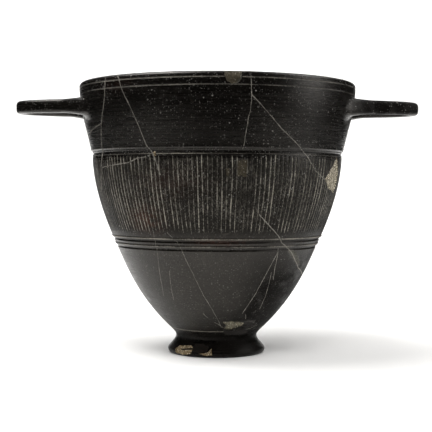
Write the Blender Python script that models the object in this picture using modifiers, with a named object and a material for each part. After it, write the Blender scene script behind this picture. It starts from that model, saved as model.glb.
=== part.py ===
"""Skyphos: a deep drinking cup of black burnished clay on a flaring foot.

The cup is one fired piece. Its body is turned from one profile, with a hollow
inside, a rounded lip, a band between two sets of mouldings, a narrow waist and
a recessed foot. Two looped handles stand out level just below the lip, and
upright incised lines run all round the band. The old chips in the lip, the
band, the bowl and the foot are shallow losses cut out of the wall.

Units are metres and +Z is up. The origin is the middle of the foot's
underside, +X runs through the handles, and the chipped side faces -Y.
"""

import math
from collections import namedtuple

import bmesh
import bpy
from mathutils import Matrix, Vector

# Heights of the stretches, from the table up to the lip.
WAIST_HEIGHT = 0.0102           # table to the narrowest place
NECK_HEIGHT = 0.0051            # waist to the line where the bowl begins
BOWL_HEIGHT = 0.0493            # neck line to the lower mouldings
MOULDING_HEIGHT = 0.0042        # each of the two lower mouldings with its notch
BAND_HEIGHT = 0.0426            # upright band with the incised lines
COLLAR_HEIGHT = 0.0048          # grooved strip between the band and the upper wall
UPPER_WALL_HEIGHT = 0.0396      # collar to the top of the lip

# Outer radii, and how fast the radius grows with height at those places.
FOOT_RADIUS = 0.0291
WAIST_RADIUS = 0.0242
NECK_RADIUS = 0.02795
BOWL_TOP_RADIUS = 0.0599
BAND_BOTTOM_RADIUS = 0.0637
BAND_TOP_RADIUS = 0.0745
SHOULDER_RADIUS = 0.07535
RIM_RADIUS = 0.0823
NECK_SLOPE = 1.06
BOWL_TOP_SLOPE = 0.43
BAND_BOTTOM_SLOPE = 0.41
BAND_TOP_SLOPE = 0.05
SHOULDER_SLOPE = 0.22

# Wall, foot and floor.
WALL = 0.0045
FOOT_EDGE_ROUND = 0.0022
FOOT_FLARE = math.radians(39)   # where the flare runs into the foot's round edge
STANDING_RING_WIDTH = 0.0050
RECESS_DEPTH = 0.0050
RECESS_SIDE = 0.0040            # how far the recess's side leans in
FLOOR_THICKNESS = 0.0060

# Mouldings and grooves that run round the cup.
MOULDING_RELIEF = 0.0005        # how far a lower moulding stands out
MOULDING_NOTCH = 0.0004         # how far the notch under it goes in
MOULDING_CREST = 0.0009         # how high up its crest begins, and its height
COLLAR_GROOVE_DEPTH = 0.00045
COLLAR_GROOVE_WIDTH = 0.0018
SHOULDER_LEDGE = 0.0010         # height of the step under the upper wall
RIM_LINE_DROPS = (0.0032, 0.0072)
RIM_LINE_WIDTH = 0.0010
RIM_LINE_DEPTH = 0.00035

# Upright incised lines of the band.
INCISION_COUNT = 120
INCISION_DEPTH = 0.00045
INCISION_MARGIN = 0.0004        # plain clay left above and below the lines

# Handles: a level loop of squarish bar that thickens where it joins the wall.
HANDLE_DROP = 0.0140            # lip to the middle of the bar
HANDLE_REACH = 0.1208           # axis to the outer face of the tip
HANDLE_HEIGHT = 0.0080
HANDLE_WIDTH = 0.0068
HANDLE_SQUARENESS = 3.2         # 2 is an ellipse, more is squarer
HANDLE_TIP_BEND = 0.0110
HANDLE_LEG_OUT = 0.0910         # axis to the place where the legs start to spread
HANDLE_LEG_APART = 0.0174       # middle of the loop to the middle of a leg there
HANDLE_LEG_SPREAD = math.radians(15)
HANDLE_LEG_BEND = 0.0120
HANDLE_ROOT_ANGLE = math.radians(27)
HANDLE_ROOT_BEND = 0.0100
HANDLE_ROOT_SINK = 0.0110       # how far the bar's end is sunk before it is trimmed
HANDLE_ROOT_FLARE = 2.2
HANDLE_ROOT_SAG = 0.0014        # how much lower the bar's end lies

# Old losses in the skin of the wall.
CHIP_DEPTH = 0.0009

# Steps of the turned and swept shapes.
TURN_SEGMENTS = 48
BOWL_STEPS = 5
BAND_STEPS = 3
UPPER_WALL_STEPS = 2
FOOT_STEPS = 3
ROUND_STEPS = 2
FLOOR_STEPS = 3
HANDLE_STEPS = 6
HANDLE_SECTION_POINTS = 10
CUTTER_REACH = 0.0040           # how far cutters stand clear of the clay
WELD_DISTANCE = 0.00001
SHARP_EDGE = math.radians(40)   # edges bent more than this stay crisp

CLAY_COLOUR = (0.018, 0.016, 0.014, 1.0)
CLAY_ROUGHNESS = 0.38

# Heights above the table, added up from the stretches.
NECK = WAIST_HEIGHT + NECK_HEIGHT
BOWL_TOP = NECK + BOWL_HEIGHT
BAND_BOTTOM = BOWL_TOP + 2 * MOULDING_HEIGHT
BAND_TOP = BAND_BOTTOM + BAND_HEIGHT
SHOULDER = BAND_TOP + COLLAR_HEIGHT
HEIGHT = SHOULDER + UPPER_WALL_HEIGHT
LIP_ROUND = WALL / 2
HANDLE_LEVEL = HEIGHT - HANDLE_DROP

# Each chip's angle runs from the front towards +X and its height is that of its
# middle. Width and height are halves, and the turn spins its outline.
Chip = namedtuple("Chip", "angle height half_width half_height corners turn")
CHIPS = (
    Chip(math.radians(5.7), HEIGHT, 0.0052, 0.0078, 10, 0),         # in the lip
    Chip(math.radians(12.6), HEIGHT, 0.0014, 0.0026, 6, 0),         # nick beside it
    Chip(math.radians(66), BAND_TOP - 0.0110, 0.0135, 0.0150, 3, math.radians(200)),
    Chip(math.radians(20), NECK + 0.0028, 0.0066, 0.0038, 8, 0),    # low on the bowl
    Chip(math.radians(-38), 0.0044, 0.0105, 0.0026, 8, 0),          # on the foot
)

Stretch = namedtuple("Stretch", "low high low_radius high_radius low_slope high_slope")
FLARE_END_RADIUS = FOOT_RADIUS - FOOT_EDGE_ROUND * (1 - math.cos(FOOT_FLARE))
FLARE_END = FOOT_EDGE_ROUND * (1 + math.sin(FOOT_FLARE))
FLARE = Stretch(FLARE_END, WAIST_HEIGHT, FLARE_END_RADIUS, WAIST_RADIUS, -math.tan(FOOT_FLARE), 0)
NECKING = Stretch(WAIST_HEIGHT, NECK, WAIST_RADIUS, NECK_RADIUS, 0, NECK_SLOPE)
BOWL = Stretch(NECK, BOWL_TOP, NECK_RADIUS, BOWL_TOP_RADIUS, NECK_SLOPE, BOWL_TOP_SLOPE)
BAND = Stretch(BAND_BOTTOM, BAND_TOP, BAND_BOTTOM_RADIUS, BAND_TOP_RADIUS, BAND_BOTTOM_SLOPE,
               BAND_TOP_SLOPE)
UPPER_WALL = Stretch(SHOULDER, HEIGHT - LIP_ROUND, SHOULDER_RADIUS, RIM_RADIUS, SHOULDER_SLOPE, 0)


def radius_at(stretch, height):
    """Outer radius of a stretch at a height, as a cubic between its two ends."""
    rise = stretch.high - stretch.low
    t = (height - stretch.low) / rise
    from_low = (2 * t ** 3 - 3 * t ** 2 + 1) * stretch.low_radius
    from_high = (3 * t ** 2 - 2 * t ** 3) * stretch.high_radius
    low_lean = (t ** 3 - 2 * t ** 2 + t) * stretch.low_slope * rise
    high_lean = (t ** 3 - t ** 2) * stretch.high_slope * rise
    return from_low + from_high + low_lean + high_lean


def wall_radius(height):
    """Outer radius of the plain cup at any height."""
    for stretch in (FLARE, NECKING, BOWL, BAND, UPPER_WALL):
        if height <= stretch.high:
            return radius_at(stretch, max(height, stretch.low))
    return RIM_RADIUS


def slope_at(stretch, height):
    """How fast the radius grows with height there."""
    rise = stretch.high - stretch.low
    t = (height - stretch.low) / rise
    growth = (6 * t - 6 * t ** 2) * (stretch.high_radius - stretch.low_radius) / rise
    low_lean = (3 * t ** 2 - 4 * t + 1) * stretch.low_slope
    high_lean = (3 * t ** 2 - 2 * t) * stretch.high_slope
    return growth + low_lean + high_lean


def even_heights(top, bottom, steps):
    """Heights from top down to bottom, both included."""
    return [top + (bottom - top) * step / steps for step in range(steps + 1)]


def down(stretch, steps, inset=0.0):
    """Points (radius, height) down a stretch, moved in square to the wall by inset."""
    points = []
    for height in even_heights(stretch.high, stretch.low, steps):
        slope = slope_at(stretch, height)
        lean = math.hypot(1, slope)
        points.append((radius_at(stretch, height) - inset / lean, height + inset * slope / lean))
    return points


def arc(centre, radius, start, end, steps):
    """Points on a round edge, by angles from the outward direction."""
    points = []
    for step in range(steps + 1):
        angle = start + (end - start) * step / steps
        points.append((centre[0] + radius * math.cos(angle), centre[1] + radius * math.sin(angle)))
    return points


def groove(stretch, height, width, depth):
    """Three points of a V groove on a stretch, from its upper to its lower edge."""
    upper = height + width / 2
    lower = height - width / 2
    return [
        (radius_at(stretch, upper), upper),
        (radius_at(stretch, height) - depth, height),
        (radius_at(stretch, lower), lower),
    ]


def upper_wall_line():
    """Upper wall from under the lip to the shoulder, with the lines cut round the rim."""
    points = []
    for drop in RIM_LINE_DROPS:
        points += groove(UPPER_WALL, HEIGHT - drop, RIM_LINE_WIDTH, RIM_LINE_DEPTH)
    lowest = points[-1][1]
    for height in even_heights(lowest, SHOULDER, UPPER_WALL_STEPS)[1:]:
        points.append((radius_at(UPPER_WALL, height), height))
    return points


def collar_line():
    """Step under the upper wall and the groove below it."""
    middle = (SHOULDER - SHOULDER_LEDGE + BAND_TOP) / 2
    return [
        (BAND_TOP_RADIUS, SHOULDER - SHOULDER_LEDGE),
        (BAND_TOP_RADIUS, middle + COLLAR_GROOVE_WIDTH / 2),
        (BAND_TOP_RADIUS - COLLAR_GROOVE_DEPTH, middle),
        (BAND_TOP_RADIUS, middle - COLLAR_GROOVE_WIDTH / 2),
    ]


def moulding_line(base, base_radius, slope):
    """One lower moulding, from the top of its crest to the notch at its base."""
    crest_top = base + 2 * MOULDING_CREST
    crest_base = base + MOULDING_CREST
    return [
        (base_radius + slope * (crest_top - base) + MOULDING_RELIEF, crest_top),
        (base_radius + slope * (crest_base - base) + MOULDING_RELIEF, crest_base),
        (base_radius - MOULDING_NOTCH, base),
    ]


def body_profile():
    """Up the inside from the floor, over the lip, down the outside and under the foot."""
    inside = down(UPPER_WALL, UPPER_WALL_STEPS, WALL)[1:] + down(BAND, BAND_STEPS // 2, WALL)
    inside += down(BOWL, FLOOR_STEPS, WALL)
    floor_radius, floor_edge = inside[-1]
    floor_level = RECESS_DEPTH + FLOOR_THICKNESS
    floor = Stretch(0, floor_radius, floor_level, floor_edge, 0, 1 / NECK_SLOPE)
    inner = [(0, floor_level)]
    for step in range(1, FLOOR_STEPS):
        radius = floor_radius * step / FLOOR_STEPS
        inner.append((radius, radius_at(floor, radius)))
    inner += reversed(inside)

    lip_centre = (RIM_RADIUS - LIP_ROUND, HEIGHT - LIP_ROUND)
    outer = arc(lip_centre, LIP_ROUND, math.pi, 0, 2 * ROUND_STEPS)
    outer += upper_wall_line() + collar_line() + down(BAND, BAND_STEPS)
    moulding_slope = (BAND_BOTTOM_RADIUS - BOWL_TOP_RADIUS) / (BAND_BOTTOM - BOWL_TOP)
    middle_radius = (BAND_BOTTOM_RADIUS + BOWL_TOP_RADIUS) / 2
    outer += moulding_line(BOWL_TOP + MOULDING_HEIGHT, middle_radius, moulding_slope)
    outer += moulding_line(BOWL_TOP, BOWL_TOP_RADIUS, moulding_slope)
    outer += down(BOWL, BOWL_STEPS)[1:] + down(NECKING, FOOT_STEPS)[1:] + down(FLARE, FOOT_STEPS)[1:]

    edge_centre = (FOOT_RADIUS - FOOT_EDGE_ROUND, FOOT_EDGE_ROUND)
    foot = arc(edge_centre, FOOT_EDGE_ROUND, FOOT_FLARE, -math.pi / 2, ROUND_STEPS + 1)[1:]
    ring_inside = FOOT_RADIUS - FOOT_EDGE_ROUND - STANDING_RING_WIDTH
    foot += [(ring_inside, 0), (ring_inside - RECESS_SIDE, RECESS_DEPTH), (0, RECESS_DEPTH)]
    return inner + outer + foot


def core_profile(inset):
    """Outside of the plain cup moved in by inset, for trimming what meets the wall."""
    points = [(0, HEIGHT - inset), (RIM_RADIUS - inset, HEIGHT - inset)]
    for stretch, steps in ((UPPER_WALL, UPPER_WALL_STEPS), (BAND, BAND_STEPS), (BOWL, BOWL_STEPS),
                           (NECKING, FOOT_STEPS), (FLARE, FOOT_STEPS)):
        points += down(stretch, steps, inset)[1:]
    points += [(FOOT_RADIUS - inset, FOOT_EDGE_ROUND), (FOOT_RADIUS - inset, -CUTTER_REACH)]
    points.append((0, -CUTTER_REACH))
    return points


def new_collection(name):
    collection = bpy.data.collections.new(name)
    bpy.context.scene.collection.children.link(collection)
    return collection


def add_object(name, data, collection):
    thing = bpy.data.objects.new(name, data)
    collection.objects.link(thing)
    return thing


def add_cutter(name, data, collection):
    cutter = add_object(name, data, collection)
    cutter.hide_render = True
    cutter.display_type = "WIRE"
    return cutter


def line_mesh(name, points):
    """A chain of edges in the XZ plane."""
    mesh = bpy.data.meshes.new(name)
    corners = [(radius, 0, height) for radius, height in points]
    edges = [(i, i + 1) for i in range(len(corners) - 1)]
    mesh.from_pydata(corners, edges, [])
    return mesh


def add_turning(thing):
    """Turn an object's line round the upright axis."""
    screw = thing.modifiers.new("Turned on the wheel", "SCREW")
    screw.axis = "Z"
    screw.angle = math.tau
    screw.steps = TURN_SEGMENTS
    screw.render_steps = TURN_SEGMENTS
    screw.use_merge_vertices = True
    screw.merge_threshold = WELD_DISTANCE
    screw.use_smooth_shade = True


def add_boolean(thing, name, operation, other):
    boolean = thing.modifiers.new(name, "BOOLEAN")
    boolean.solver = "EXACT"
    boolean.operation = operation
    boolean.object = other


def mesh_from(thing):
    """The mesh that an object shows, with the loose caps of a curve welded."""
    bpy.context.view_layer.update()
    evaluated = thing.evaluated_get(bpy.context.evaluated_depsgraph_get())
    mesh = bpy.data.meshes.new_from_object(evaluated)
    shape = bmesh.new()
    shape.from_mesh(mesh)
    bmesh.ops.remove_doubles(shape, verts=shape.verts, dist=WELD_DISTANCE)
    bmesh.ops.recalc_face_normals(shape, faces=shape.faces)
    shape.to_mesh(mesh)
    shape.free()
    return mesh


def clay_material():
    material = bpy.data.materials.new("burnished_clay")
    material.use_nodes = True
    shader = material.node_tree.nodes["Principled BSDF"]
    shader.inputs["Base Color"].default_value = CLAY_COLOUR
    shader.inputs["Roughness"].default_value = CLAY_ROUGHNESS
    shader.inputs["Metallic"].default_value = 0.0
    return material


def handle_section(collection):
    """Squarish outline of the handle's bar, as a closed flat curve."""
    curve = bpy.data.curves.new("handle_section", "CURVE")
    curve.dimensions = "2D"
    outline = curve.splines.new("POLY")
    outline.points.add(HANDLE_SECTION_POINTS - 1)
    for i, point in enumerate(outline.points):
        angle = math.tau * i / HANDLE_SECTION_POINTS
        across = math.copysign(abs(math.cos(angle)) ** (2 / HANDLE_SQUARENESS), math.cos(angle))
        upward = math.copysign(abs(math.sin(angle)) ** (2 / HANDLE_SQUARENESS), math.sin(angle))
        point.co = (across * HANDLE_WIDTH / 2, upward * HANDLE_HEIGHT / 2, 0, 1)
    outline.use_cyclic_u = True
    return add_cutter("handle_section", curve, collection)


def handle_stations():
    """Bezier points of the loop from one root to the other: place, arms and thickness."""
    root_out = Vector((math.cos(HANDLE_ROOT_ANGLE), -math.sin(HANDLE_ROOT_ANGLE), 0))
    root_radius = radius_at(UPPER_WALL, HANDLE_LEVEL) - HANDLE_ROOT_SINK
    root = root_out * root_radius + Vector((0, 0, HANDLE_LEVEL - HANDLE_ROOT_SAG))
    leg = Vector((HANDLE_LEG_OUT, -HANDLE_LEG_APART, HANDLE_LEVEL))
    leg_out = Vector((math.cos(HANDLE_LEG_SPREAD), math.sin(HANDLE_LEG_SPREAD), 0))
    tip = Vector((HANDLE_REACH - HANDLE_WIDTH / 2, 0, HANDLE_LEVEL))
    tip_arm = Vector((0, HANDLE_TIP_BEND, 0))
    near = [
        (root, -root_out * HANDLE_ROOT_BEND, root_out * HANDLE_ROOT_BEND, HANDLE_ROOT_FLARE),
        (leg, -leg_out * HANDLE_LEG_BEND / 2, leg_out * HANDLE_LEG_BEND, 1.0),
    ]
    far = []
    for place, back, forth, thickness in reversed(near):
        flip = Matrix.Diagonal((1, -1, 1))
        far.append((flip @ place, flip @ forth, flip @ back, thickness))
    return near + [(tip, -tip_arm, tip_arm, 1.0)] + far


def handles(collection):
    """Both loops as one solid, trimmed to end inside the wall."""
    curve = bpy.data.curves.new("handle_path", "CURVE")
    curve.dimensions = "3D"
    curve.twist_mode = "Z_UP"
    curve.resolution_u = HANDLE_STEPS
    curve.render_resolution_u = HANDLE_STEPS
    curve.bevel_mode = "OBJECT"
    curve.bevel_object = handle_section(collection)
    curve.use_fill_caps = True
    stations = handle_stations()
    path = curve.splines.new("BEZIER")
    path.radius_interpolation = "EASE"
    path.bezier_points.add(len(stations) - 1)
    for point, (place, back, forth, thickness) in zip(path.bezier_points, stations):
        point.handle_left_type = "FREE"
        point.handle_right_type = "FREE"
        point.co = place
        point.handle_left = place + back
        point.handle_right = place + forth
        point.radius = thickness
    swept = add_object("handle_path", curve, collection)
    loops = add_cutter("handles", mesh_from(swept), collection)
    bpy.data.objects.remove(swept)

    mirror = loops.modifiers.new("Other side", "MIRROR")
    mirror.use_axis = (True, False, False)
    mirror.use_mirror_merge = False
    core = add_cutter("inside_of_wall", line_mesh("inside_of_wall", core_profile(WALL / 2)), collection)
    add_turning(core)
    add_boolean(loops, "End inside the wall", "DIFFERENCE", core)
    return loops


def incisions(collection):
    """A cutter for one upright line, repeated all the way round the band.

    Its square section stands on a corner, with its middle one depth outside the
    wall, so that it cuts a V twice as wide as it is deep.
    """
    heights = even_heights(BAND_TOP, BAND_BOTTOM, BAND_STEPS)
    heights[0] -= INCISION_MARGIN
    heights[-1] += INCISION_MARGIN
    curve = bpy.data.curves.new("incision_path", "CURVE")
    curve.dimensions = "3D"
    curve.bevel_depth = 2 * INCISION_DEPTH
    curve.bevel_resolution = 0
    curve.use_fill_caps = True
    path = curve.splines.new("POLY")
    path.points.add(len(heights) - 1)
    for point, height in zip(path.points, heights):
        point.co = (radius_at(BAND, height) + INCISION_DEPTH, 0, height, 1)
    swept = add_object("incision_path", curve, collection)
    lines = add_cutter("incisions", mesh_from(swept), collection)
    bpy.data.objects.remove(swept)

    step = add_object("incision_step", None, collection)
    step.rotation_euler.z = math.tau / INCISION_COUNT
    array = lines.modifiers.new("Round the band", "ARRAY")
    array.count = INCISION_COUNT
    array.use_relative_offset = False
    array.use_object_offset = True
    array.offset_object = step
    return lines


def chips(collection):
    """Flat-sided plugs that point at the axis, trimmed to cut only the wall's skin."""
    shape = bmesh.new()
    for chip in CHIPS:
        outward = Vector((math.sin(chip.angle), -math.cos(chip.angle), 0))
        made = bmesh.ops.create_cone(shape, cap_ends=True, segments=chip.corners, radius1=1, radius2=1,
                                     depth=2 * CUTTER_REACH)
        place = outward * wall_radius(chip.height) + Vector((0, 0, chip.height))
        placing = Matrix.Translation(place)
        turning = Matrix.Rotation(chip.angle, 4, "Z") @ Matrix.Rotation(math.pi / 2, 4, "X")
        sizing = Matrix.Diagonal((chip.half_width, chip.half_height, 1, 1))
        spinning = Matrix.Rotation(chip.turn, 4, "Z")
        bmesh.ops.transform(shape, matrix=placing @ turning @ sizing @ spinning, verts=made["verts"])
    mesh = bpy.data.meshes.new("chips")
    shape.to_mesh(mesh)
    shape.free()
    plugs = add_cutter("chips", mesh, collection)
    core_line = line_mesh("under_the_chips", core_profile(CHIP_DEPTH))
    core = add_cutter("under_the_chips", core_line, collection)
    add_turning(core)
    add_boolean(plugs, "Keep to the skin", "DIFFERENCE", core)
    return plugs


def skyphos(collection, cutters):
    """The whole cup: turned body with its handles, less the incised lines and chips."""
    turned = add_cutter("turned_body", line_mesh("turned_body", body_profile()), cutters)
    add_turning(turned)
    mesh = mesh_from(turned)
    mesh.shade_smooth()
    mesh.set_sharp_from_angle(angle=SHARP_EDGE)
    bpy.data.objects.remove(turned)
    cup = add_object("skyphos", mesh, collection)
    cup.data.materials.append(clay_material())
    add_boolean(cup, "Handles", "UNION", handles(cutters))
    add_boolean(cup, "Incised lines", "DIFFERENCE", incisions(cutters))
    add_boolean(cup, "Chips", "DIFFERENCE", chips(cutters))
    return cup


def main():
    for thing in list(bpy.data.objects):
        bpy.data.objects.remove(thing)
    skyphos(new_collection("skyphos"), new_collection("cutters"))
    bpy.context.view_layer.update()


main()
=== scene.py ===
import math

import bmesh
import bpy
import numpy as np
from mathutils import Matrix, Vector, kdtree, noise


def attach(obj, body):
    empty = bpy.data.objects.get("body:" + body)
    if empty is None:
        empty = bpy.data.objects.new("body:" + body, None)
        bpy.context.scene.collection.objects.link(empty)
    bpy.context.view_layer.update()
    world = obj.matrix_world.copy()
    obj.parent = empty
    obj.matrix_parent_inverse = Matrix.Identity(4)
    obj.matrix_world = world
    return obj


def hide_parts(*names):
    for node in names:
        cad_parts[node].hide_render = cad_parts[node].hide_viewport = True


mm = 0.001

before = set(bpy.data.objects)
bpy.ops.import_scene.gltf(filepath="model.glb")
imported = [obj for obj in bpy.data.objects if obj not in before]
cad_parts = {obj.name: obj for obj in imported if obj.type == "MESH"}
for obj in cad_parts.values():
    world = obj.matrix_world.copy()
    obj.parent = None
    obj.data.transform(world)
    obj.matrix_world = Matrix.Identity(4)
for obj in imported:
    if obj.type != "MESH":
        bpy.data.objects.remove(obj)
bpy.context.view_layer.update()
print("frame loaded")


# An sRGB hex colour as the linear values that shaders work in.
def linearColour(hexCode):
    parts = [int(hexCode[i : i + 2], 16) / 255 for i in (1, 3, 5)]
    linear = [c / 12.92 if c <= 0.04045 else ((c + 0.055) / 1.055) ** 2.4 for c in parts]
    return (*linear, 1.0)


# Sets a node's inputs, in order or by name. A value that is a socket is linked, and so is the
# first working output of a value that is a node.
def setInputs(tree, node, values):
    for key, value in values.items() if isinstance(values, dict) else enumerate(values):
        if isinstance(value, bpy.types.Node):
            value = next(socket for socket in value.outputs if socket.enabled)
        if isinstance(value, bpy.types.NodeSocket):
            tree.links.new(value, node.inputs[key])
        else:
            node.inputs[key].default_value = value


def addNode(tree, kind, values=(), **settings):
    node = tree.nodes.new(kind)
    for name, setting in settings.items():
        setattr(node, name, setting)
    setInputs(tree, node, values)
    return node


# All of these values or masks multiplied together.
def product(tree, *factors):
    result = factors[0]
    for factor in factors[1:]:
        result = addNode(tree, "ShaderNodeMath", [result, factor], operation="MULTIPLY")
    return result


# A new geometry tree with named inputs, each of a given kind, and what they bring in.
def startTree(name, inputs):
    tree = bpy.data.node_groups.new(name, "GeometryNodeTree")
    for label, kind in inputs.items():
        tree.interface.new_socket(label, in_out="INPUT", socket_type="NodeSocket" + kind)
    tree.interface.new_socket("Geometry", in_out="OUTPUT", socket_type="NodeSocketGeometry")
    return tree, addNode(tree, "NodeGroupInput").outputs


def endTree(tree, geometry, material):
    real = addNode(tree, "GeometryNodeRealizeInstances", [geometry])
    painted = addNode(tree, "GeometryNodeSetMaterial", {"Geometry": real, "Material": material})
    addNode(tree, "NodeGroupOutput", [painted])


def newMaterial(name):
    material = bpy.data.materials.new(name)
    material.use_nodes = True
    return material, material.node_tree, material.node_tree.nodes["Principled BSDF"]


# A mesh object in the scene, at the origin.
def addMeshObject(name, mesh):
    thing = bpy.data.objects.new(name, mesh)
    bpy.context.scene.collection.objects.link(thing)
    return thing


# Bakes an object's modifiers into a plain mesh.
def applyModifiers(thing):
    bpy.context.view_layer.update()
    evaluated = thing.evaluated_get(bpy.context.evaluated_depsgraph_get())
    mesh = bpy.data.meshes.new_from_object(evaluated)
    thing.modifiers.clear()
    thing.data = mesh
    return thing


# Runs a geometry tree on an object with named inputs and leaves a plain mesh.
def runTree(thing, tree, values):
    modifier = thing.modifiers.new(tree.name, "NODES")
    modifier.node_group = tree
    for socket in tree.interface.items_tree:
        if socket.in_out == "INPUT" and socket.name in values:
            modifier[socket.identifier] = values[socket.name]
    return applyModifiers(thing)


# Turns a mesh's faces outwards, with points merged first if a distance is given.
def cleanMesh(mesh, mergeDistance=0.0):
    shape = bmesh.new()
    shape.from_mesh(mesh)
    if mergeDistance:
        bmesh.ops.remove_doubles(shape, verts=shape.verts, dist=mergeDistance)
    bmesh.ops.recalc_face_normals(shape, faces=shape.faces)
    shape.to_mesh(mesh)
    shape.free()


def addBoolean(thing, operation, other):
    boolean = thing.modifiers.new(operation, "BOOLEAN")
    boolean.solver = "EXACT"
    boolean.operation = operation
    boolean.object = other
    boolean.material_mode = "TRANSFER"


def storeValues(mesh, name, values):
    attribute = mesh.attributes.new(name, "FLOAT", "POINT")
    attribute.data.foreach_set("value", np.array(values, dtype=np.float32))


# A point round the axis in metres, from sizes in mm and an angle from the front towards +X.
def turnedPoint(angle, radius, height):
    return (radius * mm * math.sin(angle), -radius * mm * math.cos(angle), height * mm)


# Each stretch in mm: lower and upper height, radius at both, slope (radius over height) at both.
stretches = {
    "flare": (3.58, 10.2, 28.61, 24.2, -0.81, 0.0),
    "necking": (10.2, 15.3, 24.2, 27.95, 0.0, 1.06),
    "bowl": (15.3, 64.6, 27.95, 59.9, 1.06, 0.43),
    "mouldings": (64.6, 73.0, 59.9, 63.7, 0.43, 0.41),
    "band": (73.0, 115.6, 63.7, 74.5, 0.41, 0.05),
    "collar": (115.6, 119.4, 74.5, 74.5, 0.0, 0.0),
    "ledge": (119.4, 120.4, 74.5, 75.35, 0.0, 0.2),
    "upperWall": (120.4, 157.75, 75.35, 82.3, 0.22, 0.0),
}

# Lines and mouldings turned into the wall in mm: height, half width, relief (outward is positive), and how
# pale it is. In the lines the paleness is deposit that has stayed in them; on the two crests it is a
# painted highlight, and on the ledge edge partly deposit and partly a painted highlight.
marks = {
    "upperRimLine": (156.8, 0.42, -0.35, 0.42),
    "lowerRimLine": (152.8, 0.42, -0.35, 0.32),
    # The ledge edge's pale value is partly deposit, partly a painted highlight.
    "ledgeEdge": (120.3, 0.35, 0.08, 0.12),
    "collarGroove": (118.3, 0.8, -0.6, 0.0),
    "collarLine": (116.8, 0.34, -0.12, 0.26),
    # The pale values on the two crests are a painted highlight along the ridge tops.
    "upperCrest": (70.2, 0.75, 0.55, 0.42),
    "upperUndercut": (68.7, 0.9, -0.68, 0.0),
    "lowerCrest": (65.9, 0.85, 0.5, 0.3),
    "lowerUndercut": (64.2, 0.85, -0.58, 0.0),
    "neckLine": (15.3, 0.42, -0.22, 0.5),
}

# Rows of points down the outside in mm: from, to and spacing. More are added at each mark.
outsideRows = {
    "upperWall": (157.7, 120.4, 1.6),
    "collar": (120.3, 116.5, 0.35),
    "band": (116.4, 73.0, 2.6),
    "bowl": (72.6, 15.4, 2.4),
    "foot": (15.3, 3.7, 0.8),
}
insideRows = {"upperWall": 14, "band": 10, "bowl": 16}  # steps down each stretch of the inside

body = {
    "wall": 4.5,
    "height": 160.0,
    "rimRadius": 82.3,
    "footRadius": 29.1,
    "footRound": 2.2,
    "footFlare": 39.0,  # degrees
    "ringWidth": 5.0,
    "ringEdge": ((0.5, 0.0), (0.0, 0.15), (-0.3, 0.6)),  # out from the ring's inside, and up
    "recessDepth": 5.0,
    "recessSide": 4.0,
    "recessEdge": ((0.4, -0.6), (0.0, -0.1), (-0.6, 0.0)),  # out from its side, and up from its top
    "recessRings": (12, 7, 2),
    "floorLevel": 11.0,
    "floorDust": 0.1,
    "floorRings": 8,
    "lipSteps": 14,
    "footSteps": 8,
    "lineCount": 172,  # spacing of 4.9 px at the middle of the photo
    "mostDeposit": 1.8,  # how much the pale patches add
    "sharpAngle": 38.0,  # degrees, past which an edge is shaded sharp
}

# Patches where the skin is ruddy, and where it is matt and darker. The dark of the matt patches is painted
# shade, standing for the shadowed floor that the bowl, neck, foot and a handle would mirror; they also have
# less gloss.
# Each: angle in degrees from the front towards +X, height in mm, reach in degrees and in mm, strength.
ruddyPatches = [
    (-37.0, 81.0, 9.0, 7.0, 0.9),
    (1.0, 68.5, 12.0, 1.6, 0.9),
    (-42.0, 154.0, 9.0, 4.0, 0.12),
    (-22.0, 101.0, 14.0, 8.0, 0.25),
    (118.0, 96.0, 10.0, 9.0, 0.7),
    (-160.0, 60.0, 14.0, 8.0, 0.6),
]
mattShadePatches = [
    (-64.0, 9.0, 24.0, 7.0, 1.0),
    (66.0, 34.0, 30.0, 26.0, 1.3),
    (34.0, 38.0, 16.0, 20.0, 0.7),
    (30.0, 17.0, 34.0, 10.0, 1.1),
    (88.0, 62.0, 20.0, 38.0, 1.2),
    (78.0, 146.0, 11.0, 9.0, 1.2),
    (168.0, 30.0, 26.0, 14.0, 0.6),
]

# Stretches of the turned lines that have kept more deposit, or less. The two at 120.3 mm brighten the ledge
# edge, which is partly a painted highlight.
palePatches = [
    (48.0, 15.3, 30.0, 3.0, -0.45),
    (-30.0, 155.0, 38.0, 6.0, 0.45),
    (150.0, 155.0, 50.0, 6.0, 0.3),
    (-19.0, 116.8, 11.0, 1.5, 1.0),
    (-62.0, 120.3, 20.0, 1.5, 1.0),
    (46.0, 120.3, 16.0, 1.5, 0.5),
    (-150.0, 118.0, 30.0, 4.0, 0.6),
]


def patchesAt(patches, angle, height):
    strength = 0.0
    for middle, level, wide, tall, most in patches:
        apart = (angle - middle + 180) % 360 - 180
        strength += most * math.exp(-((apart / wide) ** 2) - ((height - level) / tall) ** 2)
    return min(strength, 1.0)


# A smooth curve between two values with a slope at each.
def hermite(t, start, end, startSlope, endSlope, length):
    value = (2 * t**3 - 3 * t**2 + 1) * start + (3 * t**2 - 2 * t**3) * end
    return value + ((t**3 - 2 * t**2 + t) * startSlope + (t**3 - t**2) * endSlope) * length


# Outer radius of the plain wall at a height, in mm.
def wallRadius(height):
    height = min(max(height, stretches["flare"][0]), stretches["upperWall"][1])
    for low, high, lowRadius, highRadius, lowSlope, highSlope in stretches.values():
        if height <= high:
            t = (height - low) / (high - low)
            return hermite(t, lowRadius, highRadius, lowSlope, highSlope, high - low)
    return body["rimRadius"]


# Relief and paleness that the turned lines and mouldings give at a height: deposit, and a painted highlight
# on the crests and the ledge edge.
def markAt(height):
    relief, depositAndHighlight = 0.0, 0.0
    for middle, halfWidth, depth, pale in marks.values():
        t = abs(height - middle) / halfWidth
        if t < 1:
            relief += depth * (1 - t * t * (3 - 2 * t))
            depositAndHighlight = max(depositAndHighlight, pale * (1 - t))
    return relief, depositAndHighlight


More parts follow.
